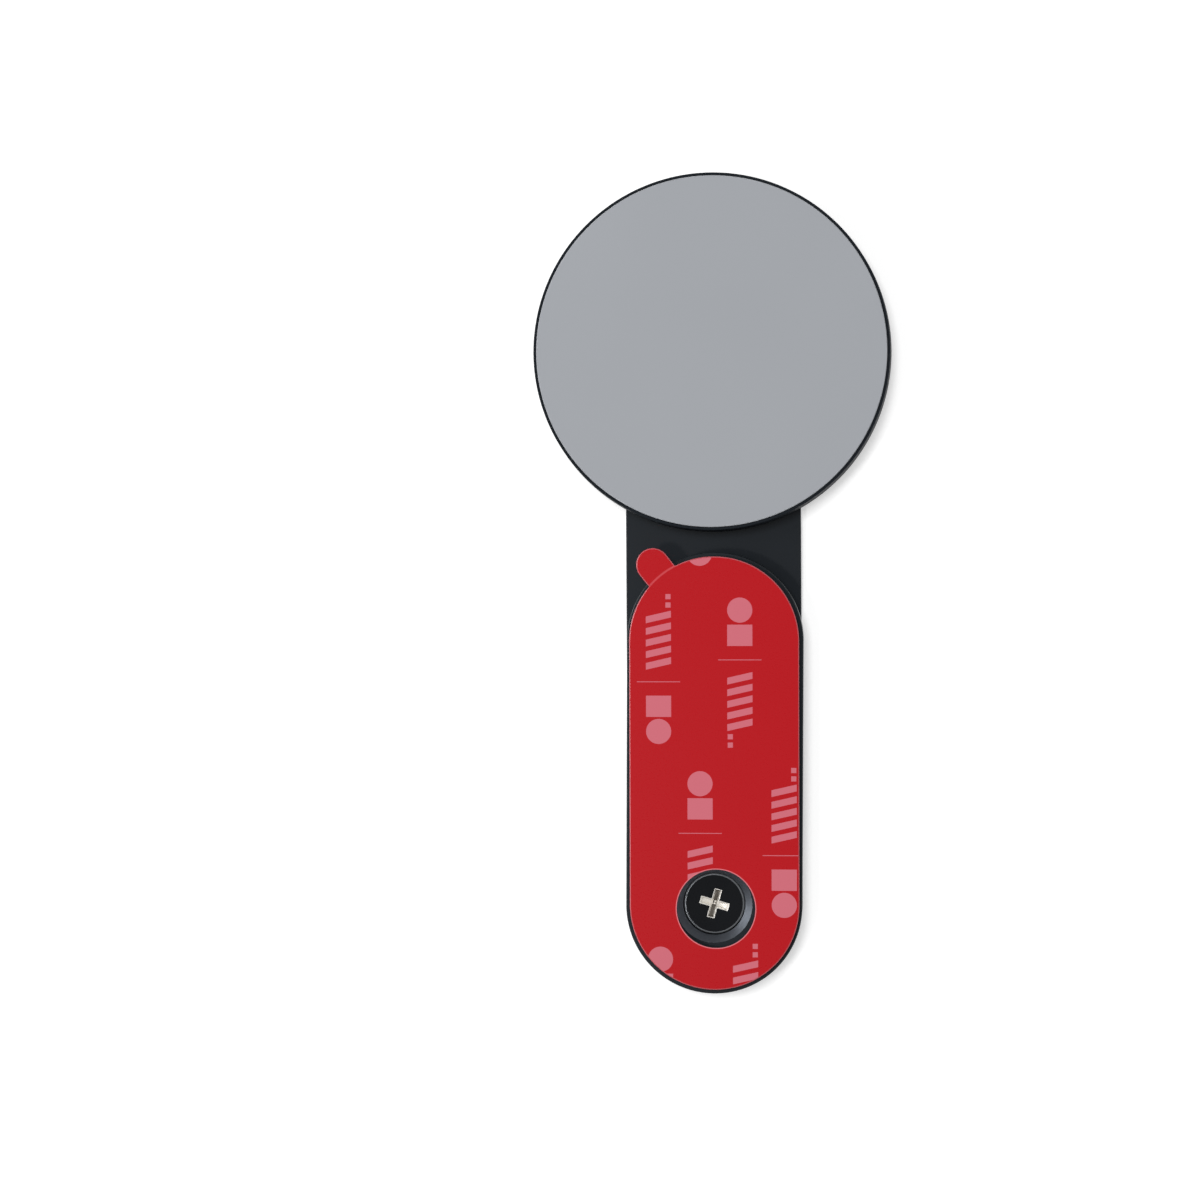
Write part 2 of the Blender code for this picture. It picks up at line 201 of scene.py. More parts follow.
def rod(name, radius, bottom, top, steps=128):
    """A plain upright cylinder, for a punch, a drill or a disc."""
    return turned(name, [(0, bottom), (radius, bottom), (radius, top), (0, top)], steps)


# %% [markdown]
# ## Soft edges, cuts and shading
# No real edge is perfectly sharp. A bevel of a few tenths of a millimetre catches the light, and
# that thin bright line is what makes metal look milled. Holes are cut with a Boolean, whose new
# faces take the cutter's material. Weighted normals keep flat faces flat beside the round edges.

# %% Bevel, cut and shade
# A corner bends by more than this, and the facets of a round side by less
SHARP = math.radians(20)


def soften(piece, width, segments, test):
    """Round the edges that pass the test."""
    edit(piece)
    select_where("EDGE", test)
    bpy.ops.mesh.bevel(offset=width, segments=segments, affect="EDGES", clamp_overlap=False)
    close()


def lies_at(*heights):
    """A test for the corners of a piece that lie flat at one of these heights."""
    def test(edge):
        level = any(all(abs(vert.co.z - height) < TINY for vert in edge.verts)
                    for height in heights)
        return level and len(edge.link_faces) == 2 and edge.calc_face_angle(0) > SHARP
    return test


def combine(piece, other, operation="DIFFERENCE"):
    """Cut one piece with another, or add it, and throw the other away."""
    choose(piece)
    boolean = piece.modifiers.new("boolean", "BOOLEAN")
    boolean.operation = operation
    boolean.solver = "EXACT"
    boolean.material_mode = "TRANSFER"
    boolean.object = other
    bpy.ops.object.modifier_apply(modifier=boolean.name)
    bpy.data.objects.remove(other, do_unlink=True)


def join_fan(piece, height):
    """Join the triangles of a flat disc at this height, so that a cut leaves no slivers there."""
    edit(piece)
    select_where("FACE", lambda face: all(abs(vert.co.z - height) < TINY for vert in face.verts))
    bpy.ops.mesh.dissolve_faces()
    bpy.ops.object.mode_set(mode="OBJECT")


def drill_for_screws(piece, radius, top):
    """Drill holes for the head's four screws, from where their lower ends lie up to the top."""
    for number in range(1, 5):
        low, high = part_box(f"head_screw_{number}")
        drill = rod("drill", radius, low[2], top, 32)
        settle(drill, ((low[0] + high[0]) / 2, (low[1] + high[1]) / 2))
        combine(piece, drill)


def shade(piece, angle=30):
    """Smooth the round parts, keep the corners, and keep flat faces flat."""
    choose(piece)
    bpy.ops.object.shade_smooth_by_angle(angle=math.radians(angle))
    weighted = piece.modifiers.new("weighted", "WEIGHTED_NORMAL")
    weighted.keep_sharp = True
    bpy.ops.object.modifier_apply(modifier=weighted.name)
    print(piece.name, len(piece.data.polygons), "faces")


# %% [markdown]
# ## Materials
# Colours are written as on a screen, in sRGB hex, and Blender's shaders want linear light, so one
# function turns them. Another adds a node, sets it and links it. Patterns read Object
# coordinates, which are metres here, so a pattern's scale follows from a real size. The last two
# functions give a piece its materials, and chosen faces another one of them.

# %% Colour, node and slot helpers
def linear(colour):
    """An sRGB hex colour as linear RGBA."""
    channels = [int(colour[i:i + 2], 16) / 255 for i in (1, 3, 5)]
    return (*[c / 12.92 if c <= 0.04045 else ((c + 0.055) / 1.055) ** 2.4 for c in channels], 1.0)


def add_node(tree, kind, inputs=None, **settings):
    """Add a node. Each input is given a value, or the socket that it is linked from."""
    node = tree.nodes.new(kind)
    for name, value in settings.items():
        setattr(node, name, value)
    for name, value in (inputs or {}).items():
        if isinstance(value, bpy.types.NodeSocket):
            tree.links.new(value, node.inputs[name])
        else:
            node.inputs[name].default_value = value
    return node


def new_material(name, colour, **shader_inputs):
    """A material with a Principled shader, and the object's own coordinates."""
    mat = bpy.data.materials.new(name)
    mat.use_nodes = True
    mat.diffuse_color = linear(colour)
    tree = mat.node_tree
    shader = tree.nodes["Principled BSDF"]
    shader.inputs["Base Color"].default_value = linear(colour)
    for name, value in shader_inputs.items():
        shader.inputs[name.replace("_", " ")].default_value = value
    place = add_node(tree, "ShaderNodeTexCoord").outputs["Object"]
    print("finish:", name)
    return mat, tree, shader, place


def per_metre(size_mm):
    """A texture's scale for features of a size in millimetres."""
    return 1000 / size_mm


def dress(piece, *materials):
    """Give a piece its materials, in the order of their slots. All its faces get the first."""
    piece.data.materials.clear()
    for mat in materials:
        piece.data.materials.append(mat)


def paint(piece, slot, test):
    """In edit mode, give the faces that pass the test the material in this slot."""
    select_where("FACE", test)
    piece.active_material_index = slot
    bpy.ops.object.material_slot_assign()


# %% [markdown]
# ### Black anodised aluminium
# The arm, the plate and the head's shell are bead blasted and then anodised black. The blasting
# leaves fine pits, about 0.1 mm, and the dyed oxide over them is satin. It is drawn as a dark
# dielectric over the metal, with fine bumps and a slightly uneven sheen. The countersunk mouth of
# the screw's well is cut after the blasting, so it is brighter: a grey metal there spreads the
# lamps' reflections into a soft band. The head's shell is blasted more coarsely, so its steep side
# hardly mirrors the table that it stands on, and stays dark where the lit table lies behind it.

# %% Anodised aluminium
def anodised_finish(name, colour, other_colour, roughness, specular, metallic=0.0):
    mat, tree, shader, place = new_material(name, colour, Roughness=roughness,
                                            Specular_IOR_Level=specular, Metallic=metallic)
    # Blasted pits, drawn at 0.22 mm so that they still show as a grain
    pits = add_node(tree, "ShaderNodeTexNoise", {"Vector": place, "Scale": per_metre(0.22),
                                                 "Detail": 3.0, "Roughness": 0.6})
    # Dye takes a little unevenly over some 9 mm
    cloud = add_node(tree, "ShaderNodeTexNoise", {"Vector": place, "Scale": per_metre(9),
                                                  "Detail": 2.0})
    shade_of = add_node(tree, "ShaderNodeMix", {"Factor": cloud.outputs["Fac"],
                                                "A": linear(colour), "B": linear(other_colour)},
                        data_type="RGBA")
    tree.links.new(shade_of.outputs["Result"], shader.inputs["Base Color"])
    sheen = add_node(tree, "ShaderNodeMapRange", {"Value": pits.outputs["Fac"],
                                                  "To Min": roughness - 0.06,
                                                  "To Max": roughness + 0.06})
    tree.links.new(sheen.outputs["Result"], shader.inputs["Roughness"])
    bump = add_node(tree, "ShaderNodeBump", {"Height": pits.outputs["Fac"], "Strength": 0.12,
                                             "Distance": 0.02 * MM})
    tree.links.new(bump.outputs["Normal"], shader.inputs["Normal"])
    return mat


anodised = anodised_finish("anodised_aluminium_black", "#202428", "#22262b", 0.40, 0.30)
blasted = anodised_finish("anodised_aluminium_blasted", "#1d2125", "#1f2328", 0.55, 0.06)
countersunk = anodised_finish("anodised_aluminium_machined", "#71767f", "#797e86", 0.50, 0.5, 1.0)

# %% [markdown]
# ### Silicone, film, ink and foam
# The face pad is die-cut from matt grey silicone, which grips a phone. It scatters light almost
# evenly, with a fine grain from its mould. The release liner is polyester film, dyed red and
# coated so that it peels: thin, smooth and low in gloss. Its die-cut edge is whitened, the hole's
# edge is whitened and painted paler still as a highlight, a painted highlight lies where the tab
# leaves the tape, and its print is a paler ink. The tape is acrylic foam, a soft solid full of
# tiny closed cells.

# %% Silicone
def silicone_finish():
    mat, tree, shader, place = new_material("silicone_grey_matt", "#a4a7aa", Roughness=0.72,
                                            Specular_IOR_Level=0.30, IOR=1.41, Sheen_Weight=0.04)
    # Mould grain of 0.15 mm, and a faint unevenness over some 20 mm
    grain = add_node(tree, "ShaderNodeTexNoise", {"Vector": place, "Scale": per_metre(0.15),
                                                  "Detail": 2.0})
    cloud = add_node(tree, "ShaderNodeTexNoise", {"Vector": place, "Scale": per_metre(20),
                                                  "Detail": 1.0})
    tone = add_node(tree, "ShaderNodeMix", {"Factor": cloud.outputs["Fac"],
                                            "A": linear("#9fa2a7"), "B": linear("#a2a5aa")},
                    data_type="RGBA")
    tree.links.new(tone.outputs["Result"], shader.inputs["Base Color"])
    bump = add_node(tree, "ShaderNodeBump", {"Height": grain.outputs["Fac"], "Strength": 0.10,
                                             "Distance": 0.02 * MM})
    tree.links.new(bump.outputs["Normal"], shader.inputs["Normal"])
    return mat


# %% Polyester film, its cut edge, its ink, and its painted highlights at the tab's root and hole
def film_finish(name, colour, roughness):
    mat, tree, shader, place = new_material(name, colour, Roughness=roughness, IOR=1.6,
                                            Specular_IOR_Level=0.35)
    # Film never lies quite flat: shallow waves some 12 mm across, and coating streaks of 0.5 mm
    waves = add_node(tree, "ShaderNodeTexNoise", {"Vector": place, "Scale": per_metre(12),
                                                  "Detail": 1.0})
    streaks = add_node(tree, "ShaderNodeTexNoise", {"Vector": place, "Scale": per_metre(0.5),
                                                    "Detail": 2.0})
    flow = add_node(tree, "ShaderNodeMapRange", {"Value": streaks.outputs["Fac"],
                                                 "To Min": roughness - 0.03,
                                                 "To Max": roughness + 0.03})
    tree.links.new(flow.outputs["Result"], shader.inputs["Roughness"])
    bump = add_node(tree, "ShaderNodeBump", {"Height": waves.outputs["Fac"], "Strength": 0.20,
                                             "Distance": 0.06 * MM})
    tree.links.new(bump.outputs["Normal"], shader.inputs["Normal"])
    return mat


# %% Acrylic foam
def foam_finish():
    mat, tree, shader, place = new_material("acrylic_foam_dark_grey", "#3a3b3d", Roughness=0.85,
                                            Specular_IOR_Level=0.2)
    # Closed cells of about 0.12 mm, cut open along the edge
    cells = add_node(tree, "ShaderNodeTexVoronoi", {"Vector": place, "Scale": per_metre(0.12)})
    tone = add_node(tree, "ShaderNodeMix", {"Factor": cells.outputs["Distance"],
                                            "A": linear("#303133"), "B": linear("#454648")},
                    data_type="RGBA")
    tree.links.new(tone.outputs["Result"], shader.inputs["Base Color"])
    bump = add_node(tree, "ShaderNodeBump", {"Height": cells.outputs["Distance"],
                                             "Strength": 0.4, "Distance": 0.04 * MM})
    tree.links.new(bump.outputs["Normal"], shader.inputs["Normal"])
    return mat


silicone = silicone_finish()
film = film_finish("polyester_film_red", "#b8131c", 0.28)
# A painted highlight on the line where the tab leaves the tape
tab_root_highlight = film_finish("polyester_film_crease", "#c9434a", 0.45)
cut_edge = film_finish("polyester_film_cut_edge", "#b9545c", 0.38)
# The hole's edge: whitened by its punch, and painted paler still as a highlight
punched_edge_highlight = film_finish("polyester_film_punched_edge", "#de767e", 0.60)
ink = film_finish("printing_ink_pale_red", "#cf6b78", 0.55)
foam = foam_finish()

# %% [markdown]
# ### Metals and nylon inside
# The screw is steel with a black oxide, worn on the edge of its head and bare where a driver has
# turned in its recess. Both worn places carry a painted highlight as well: a pale grey on the edge,
# and near white in most of the recess. The washers and the bush are zinc plated, the magnets nickel
# plated. A metal's colour is its reflection, so these are metallic, with a fine grain in their
# roughness. The worn finishes are less metallic, so that their painted highlights stay pale under
# the dark ceiling.

# %% Metals and nylon
def metal_finish(name, colour, roughness, grain_mm, metallic=1.0, bumps=0.05):
    mat, tree, shader, place = new_material(name, colour, Roughness=roughness, Metallic=metallic)
    grain = add_node(tree, "ShaderNodeTexNoise", {"Vector": place, "Scale": per_metre(grain_mm),
                                                  "Detail": 3.0})
    spread = add_node(tree, "ShaderNodeMapRange", {"Value": grain.outputs["Fac"],
                                                   "To Min": roughness - 0.07,
                                                   "To Max": roughness + 0.07})
    tree.links.new(spread.outputs["Result"], shader.inputs["Roughness"])
    bump = add_node(tree, "ShaderNodeBump", {"Height": grain.outputs["Fac"], "Strength": bumps,
                                             "Distance": 0.02 * MM})
    tree.links.new(bump.outputs["Normal"], shader.inputs["Normal"])
    return mat


black_oxide = metal_finish("steel_black_oxide", "#202226", 0.30, 0.20, metallic=0.6)
# The head's worn edge, pale grey and less metallic: wear, with a painted highlight along it
worn_oxide_highlight = metal_finish("steel_black_oxide_worn_highlight", "#93979c", 0.36, 0.20, metallic=0.6)
# Bare steel where the driver wore the oxide off, painted near white as a highlight
bare_steel_highlight = metal_finish("steel_bare_worn_highlight", "#fdf9f2", 0.32, 0.15, metallic=0.15)
recess_steel = metal_finish("steel_recess", "#948d84", 0.30, 0.15, metallic=0.8)
zinc = metal_finish("steel_zinc_plated", "#b9babd", 0.36, 0.25)
nickel = metal_finish("magnet_nickel_plated", "#c4bdb0", 0.25, 0.20)
nylon = metal_finish("nylon_black_moulded", "#232325", 0.55, 0.30, metallic=0.0, bumps=0.1)
adhesive = metal_finish("adhesive_clear_film", "#d4d4ce", 0.50, 0.80, metallic=0.0)

# %% [markdown]
# The inner pieces keep their CAD shapes, which are right. Each gets its finish.

# %% Dress the pieces that keep their CAD shape
FINISHES = {"flat_washer": zinc, "wave_washer": zinc, "friction_washer": nylon, "yoke_ring": zinc,
            "magnet_carrier": nylon, "pad_adhesive": adhesive}
for name, node in frame["nodes"].items():
    finish = FINISHES.get(name, nickel if name.startswith("magnet_") else zinc)
    if name.startswith(("magnet_", "head_screw")) or name in FINISHES:
        dress(node, finish)
        print(name, finish.name)

# %% [markdown]
# ## The arm
# A bar of 2 mm aluminium, cut to shape, bored for the bush from below and drilled for the head's
# screws. Its edges are broken with a small round, as a tumbled or machined edge is.

# %% Model the arm
EDGE_ROUND = 0.20 * MM
FIT = 0.05 * MM
BUSH_SEAT = 0.8 * MM
BUSH_HOLE_RADIUS = 3.05 * MM
ARM_DRILL_RADIUS = 1.3 * MM
arm_near = arm_low[1] + bar_radius
arm_far = arm_high[1] - bar_radius
arm = bar("arm_bar", bar_radius, arm_near, arm_far, 0.0, arm_high[2])
soften(arm, EDGE_ROUND, 5, lies_at(0.0, arm_high[2]))

# All cutters end a millimetre above the arm. The screws' holes don't reach its underside.
bush_radius = (bush_high[0] - bush_low[0]) / 2
seat_radius = bush_radius + FIT
above_arm = arm_high[2] + MM
bush_bore = turned("bush_bore", [
    (0, -MM), (seat_radius, -MM), (seat_radius, BUSH_SEAT), (BUSH_HOLE_RADIUS, BUSH_SEAT),
    (BUSH_HOLE_RADIUS, above_arm), (0, above_arm)])
settle(bush_bore, PIVOT)
combine(arm, bush_bore)
drill_for_screws(arm, ARM_DRILL_RADIUS, above_arm)
dress(arm, anodised)
shade(arm)
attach(arm, "arm")
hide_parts("arm")

# %% [markdown]
# ## The base plate and its well
# A 4 mm bar of the same width. The pivot screw sits down in a tapered well, so that nothing
# stands proud of the tape. The well is one cut with a turned cutter: a bore for the bush, a
# straight part round the washers and the screw's head, and a countersunk mouth at 45 degrees.

# %% Model the base plate
BORE_RADIUS = 3.10 * MM
WELL_FLOOR = 0.8 * MM
WELL_RADIUS = 4.85 * MM
COUNTERSINK = 1.10 * MM
plate_top = plate_high[2]
plate_far = PIVOT_OFFSET + PLATE_LENGTH - 2 * bar_radius
plate_bottom = plate_low[2]
well_bottom = plate_bottom + WELL_FLOOR
mouth_radius = WELL_RADIUS + COUNTERSINK
plate = bar("base_bar", bar_radius, PIVOT_OFFSET, plate_far, plate_bottom, plate_top)
soften(plate, EDGE_ROUND, 5, lies_at(plate_bottom, plate_top))
dress(plate, anodised)
well = turned("well", [
    (0, plate_bottom - MM), (BORE_RADIUS, plate_bottom - MM), (BORE_RADIUS, well_bottom),
    (WELL_RADIUS, well_bottom), (WELL_RADIUS, plate_top - COUNTERSINK),
    (mouth_radius, plate_top), (mouth_radius, plate_top + MM), (0, plate_top + MM)])
dress(well, anodised, countersunk)
edit(well)
paint(well, 1, lambda face: 0.3 < abs(face.normal.z) < 0.9)
bpy.ops.object.mode_set(mode="OBJECT")
combine(plate, well)
settle(plate, PIVOT, PLATE_TURN)
shade(plate)
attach(plate, "base")
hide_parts("base_plate")

# %% [markdown]
# ## The foam tape
# One millimetre of acrylic foam, die-cut a little smaller than the plate, with a hole over the
# screw. A steel rule presses foam down as it cuts, so both edges of the cut side are rounded.

# %% Model the foam
TAPE_RADIUS = 13.15 * MM
TAPE_END_INSET = 0.70 * MM
TAPE_SHIFT = 0.10 * MM
TAPE_HOLE = 6.1 * MM
TAPE_HOLE_PLACE = (0.35 * MM, -0.50 * MM)
FOAM_ROUND = 0.15 * MM
HALF_SPAN = PLATE_LENGTH / 2 - TAPE_END_INSET - TAPE_RADIUS
tape_middle = PIVOT_OFFSET + PLATE_LENGTH / 2 - bar_radius + TAPE_SHIFT


def hole_punch(radius):
    """A round cutter over the screw, in the tape's own frame, whose middle is the tape's."""
    punch = rod("hole_punch", radius, plate_top - MM, film_high[2] + MM)
    settle(punch, (TAPE_HOLE_PLACE[0], TAPE_HOLE_PLACE[1] - tape_middle))
    settle(punch, (0, 0), -TAPE_TURN)
    return punch


def lay_tape(piece):
    """Lay a piece of tape or film on the plate, and the plate over the arm."""
    settle(piece, (0, tape_middle), TAPE_TURN)
    settle(piece, PIVOT, PLATE_TURN)


layer = bar("foam_layer", TAPE_RADIUS, -HALF_SPAN, HALF_SPAN, foam_low[2], foam_high[2])
combine(layer, hole_punch(TAPE_HOLE))
soften(layer, FOAM_ROUND, 3, lies_at(foam_low[2], foam_high[2]))
lay_tape(layer)
dress(layer, foam)
shade(layer)
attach(layer, "base")
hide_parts("foam_tape")

# %% [markdown]
# ## The release liner
# A film 0.12 mm thick, cut with the tape, with a round-ended tab that sticks out past the plate
# for a finger to pull. The cut presses its edge down and whitens it, which shows from above as a
# thin pale line, brighter where it faces the light. So the top face is inset by a line's width,
# and the border slopes and gets the cut edge's finish. The hole's edge isn't pressed down: it is
# whitened by its punch and painted paler still, as a painted highlight round the hole. A lighter
# red line where the tab leaves the tape is a painted highlight.

# %% Model the liner
TAB_RADIUS = 2.575 * MM
TAB_LENGTH = 4.6 * MM
TAB_REACH = TAPE_RADIUS + TAB_LENGTH - TAB_RADIUS
TAB_TURN = math.radians(38.5)
TAB_STEP = 0.02 * MM
CUT_LINE = 0.15 * MM
CUT_DROP = 0.09 * MM

liner = bar("liner_film", TAPE_RADIUS, -HALF_SPAN, HALF_SPAN, film_low[2], film_high[2])
tab = bar("tab", TAB_RADIUS, TAPE_RADIUS - 2 * TAB_RADIUS, TAB_REACH,
          film_low[2] + TAB_STEP, film_high[2] - TAB_STEP)
settle(tab, (0, HALF_SPAN), TAB_TURN)
combine(liner, tab, "UNION")
combine(liner, hole_punch(TAPE_HOLE))
# Slots: the cut edge, the film, the painted highlight at the tab's root, and the hole's edge with
# its painted highlight
CUT, FILM, TAB_ROOT_HIGHLIGHT, PUNCHED_HIGHLIGHT = range(4)
dress(liner, cut_edge, film, tab_root_highlight, punched_edge_highlight)


def on_hole_rim(face):
    """Whether a face lies on the top of the film, along the hole's edge."""
    middle = Vector((TAPE_HOLE_PLACE[0], TAPE_HOLE_PLACE[1] - tape_middle, 0))
    middle.rotate(Euler((0, 0, -TAPE_TURN)))
    away = face.calc_center_median() - middle
    return face.normal.z > 0.9 and away.xy.length < TAPE_HOLE + CUT_LINE


def on_tab_root(face):
    """Whether a face lies on the line where the tab leaves the tape."""
    along = face.calc_center_median() - Vector((0, HALF_SPAN, 0))
    along.rotate(Euler((0, 0, -TAB_TURN)))
    return (abs(along.x) < TAB_RADIUS - CUT_LINE and along.y > 0
            and abs(along.xy.length - TAPE_RADIUS) < 3 * CUT_LINE)


edit(liner)
select_where("FACE", lambda face: face.normal.z > 0.9)
bpy.ops.mesh.inset(thickness=CUT_LINE, use_even_offset=True)
# The inset leaves the inner face selected
liner.active_material_index = FILM
bpy.ops.object.material_slot_assign()
paint(liner, FILM, lambda face: face.normal.z < -0.9)
# The tab's root line and the hole's rim get their painted highlights
paint(liner, TAB_ROOT_HIGHLIGHT, on_tab_root)
paint(liner, PUNCHED_HIGHLIGHT, on_hole_rim)
select_where("VERT", lambda vert: all(face.material_index == CUT for face in vert.link_faces))
bpy.ops.transform.translate(value=(0, 0, -CUT_DROP))
close()
lay_tape(liner)
shade(liner)
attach(liner, "base")
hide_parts("release_liner")

# %% [markdown]
# ## The liner's print
# Such film is printed all over with a repeated mark in a paler red. Here the mark is made of
# plain shapes: a dot, a block, a thin rule across, slanted bars and two small squares. It is
# modelled once, as thin flat solids, and copied along four columns that face both ways. What
# lies past the film's edge or over its hole is cut away.

# %% Model one mark
# The ink starts a little way down in the film, so that no gap shows under it
INK_BOTTOM = film_high[2] - 0.02 * MM
INK_TOP = film_high[2] + 0.006 * MM


def block(width, length, across, along, slant=0.0):
    """A flat block, in millimetres. slant moves its right side along."""
    bpy.ops.object.select_all(action="DESELECT")
    bpy.ops.mesh.primitive_plane_add(size=MM, location=(across * MM, along * MM, INK_BOTTOM))
    piece = bpy.context.object
    piece.scale = (width, length, 1)
    bpy.ops.object.transform_apply(location=True, rotation=True, scale=True)
    edit(piece)
    select_where("VERT", lambda vert: vert.co.x > across * MM)
    bpy.ops.transform.translate(value=(0, slant * MM, 0))
    bpy.ops.object.mode_set(mode="OBJECT")
    return piece


def dot(radius, across, along):
    """A flat round dot, in millimetres."""
    bpy.ops.object.select_all(action="DESELECT")
    bpy.ops.mesh.primitive_circle_add(vertices=48, radius=radius * MM, fill_type="NGON",
                                      location=(across * MM, along * MM, INK_BOTTOM))
    bpy.ops.object.transform_apply(location=True, rotation=True, scale=True)
    return bpy.context.object


def join(pieces, name):
    """Make one piece of several."""
    bpy.ops.object.select_all(action="DESELECT")
    for piece in pieces:
        piece.select_set(True)
    bpy.context.view_layer.objects.active = pieces[0]
    bpy.ops.object.join()
    pieces[0].name = pieces[0].data.name = name
    return pieces[0]


MARK_WIDTH = 3.9
shapes = [dot(MARK_WIDTH / 2, 0, -7.7), block(MARK_WIDTH, 3.3, 0, -3.8), block(6.7, 0.12, 0, 0)]
shapes += [block(MARK_WIDTH, 1.05, 0, 2.4 + 1.8 * number, slant=0.9) for number in range(5)]
shapes += [block(0.8, 0.8, 1.5, along) for along in (11.9, 13.2)]
mark = join(shapes, "mark")
edit(mark)
bpy.ops.mesh.select_all(action="SELECT")
bpy.ops.mesh.extrude_region_move(TRANSFORM_OT_translate={"value": (0, 0, INK_TOP - INK_BOTTOM)})
close()
print("shapes in a mark:", len(shapes))

# %% Copy it over the film
# Each mark's rule, in millimetres from the pivot, and whether the mark faces away from it
MARKS = [(-8.6, 34.7, True), (4.0, 38.1, False), (-2.2, 11.2, False), (10.8, 7.8, True),
         (-8.4, -16.1, False), (4.8, -19.5, True), (-2.2, 62.3, True)]
copies = []
for across, along, away in MARKS:
    copy = mark.copy()
    copy.data = mark.data.copy()
    bpy.context.collection.objects.link(copy)
    settle(copy, (across * MM, along * MM), 0 if away else math.pi)
    copies.append(copy)
bpy.data.objects.remove(mark, do_unlink=True)
liner_print = join(copies, "liner_print")
settle(liner_print, (0, -tape_middle))
inside = bar("inside", TAPE_RADIUS - CUT_LINE, -HALF_SPAN, HALF_SPAN, plate_top,
             film_high[2] + MM)
combine(liner_print, inside, "INTERSECT")
combine(liner_print, hole_punch(TAPE_HOLE + CUT_LINE))
lay_tape(liner_print)
dress(liner_print, ink)
shade(liner_print)
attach(liner_print, "base")

# %% [markdown]
# ## The magnet head
# The shell is a shallow dish turned from bar, with a wall under half a millimetre at the rim and a
# side that leans out a little to its base. Its face is closed by a disc of silicone, which sits in
# the rim and stands a hair proud of it.

# %% Turn the shell
SHELL_LEAN = 0.3 * MM
SHELL_FLOOR = 1.0 * MM
BASE_ROUND = 0.45 * MM
RIM_ROUND = 0.07 * MM
SHELL_DRILL_RADIUS = 1.35 * MM
HEAD_STEPS = 192
pad_radius = (pad_high[0] - pad_low[0]) / 2
cavity = pad_radius + FIT
rim_radius = head_radius - SHELL_LEAN
shell_bottom, shell_top = head_low[2], head_high[2]
shell_floor = shell_bottom + SHELL_FLOOR
shell = turned("head_dish", [
    (0, shell_bottom), (head_radius, shell_bottom), (rim_radius, shell_top),
    (cavity, shell_top), (cavity, shell_floor), (0, shell_floor)], HEAD_STEPS)
soften(shell, BASE_ROUND, 6, lies_at(shell_bottom))
soften(shell, RIM_ROUND, 3, lies_at(shell_top))
join_fan(shell, shell_bottom)
join_fan(shell, shell_floor)
settle(shell, head_centre)
drill_for_screws(shell, SHELL_DRILL_RADIUS, shell_top)
dress(shell, blasted)
shade(shell)
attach(shell, "arm")
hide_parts("head_shell")

# %% Lay the pad in it
PAD_ROUND = 0.14 * MM
pad = rod("face_disc", pad_radius, pad_low[2], pad_high[2], HEAD_STEPS)
soften(pad, PAD_ROUND, 4, lies_at(pad_high[2]))
settle(pad, head_centre)
dress(pad, silicone)
shade(pad)
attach(pad, "arm")
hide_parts("face_pad")

# %% [markdown]
# ## The pivot screw and its bush
# The screw has a wide flat head with a cross recess. A punch forms the recess when the screw is
# made: two tapered wings that cross, deepest in the middle. So the recess is cut with two such
# wings, and the faces they leave are bare steel: the walls and one wing's floor get a painted
# highlight in near white, the other floor a darker steel. A driver wears the recess's rim bare as
# well, so a shallow, slightly larger cross is cut first, and its faces get the painted highlight
# too.

# %% Turn the screw and punch its recess
RECESS_SPAN, RECESS_WIDTH, RECESS_DEPTH = 4.4 * MM, 1.0 * MM, 1.5 * MM
RECESS_END_DEPTH = 0.40 * MM
RECESS_TURN = math.radians(-16)
WORN_RIM, WORN_DEPTH = 0.10 * MM, 0.05 * MM
# The share of its width that a wing keeps half way down and at its floor, and how much of that
# taper its length has
WIDTH_KEPT = (0.78, 0.56)
LENGTH_TAPER = 0.3
SHANK_RADIUS = 2.0 * MM
HEAD_HEIGHT = 0.9 * MM
# The worn edge of the head: how far each of its corners lies in from the side and below the top
WORN_EDGE = [(0.0, 0.12 * MM), (0.10 * MM, 0.035 * MM), (0.27 * MM, 0.0)]
PIVOT_STEPS = 96
head_top = screw_high[2]
head_bottom = head_top - HEAD_HEIGHT
screw_radius = (screw_high[0] - screw_low[0]) / 2
screw = turned("screw_pivot", [
    (0, screw_low[2]), (SHANK_RADIUS, screw_low[2]), (SHANK_RADIUS, head_bottom),
    (screw_radius, head_bottom),
    *[(screw_radius - inwards, head_top - down) for inwards, down in WORN_EDGE],
    (0, head_top)], PIVOT_STEPS)
dress(screw, black_oxide, bare_steel_highlight, worn_oxide_highlight, recess_steel)
edit(screw)
# The worn edge's facets get the pale grey: wear, with a painted highlight along the head's edge
paint(screw, 2, lambda face: 0.1 < face.normal.z < 0.99)
bpy.ops.object.mode_set(mode="OBJECT")
join_fan(screw, head_top)


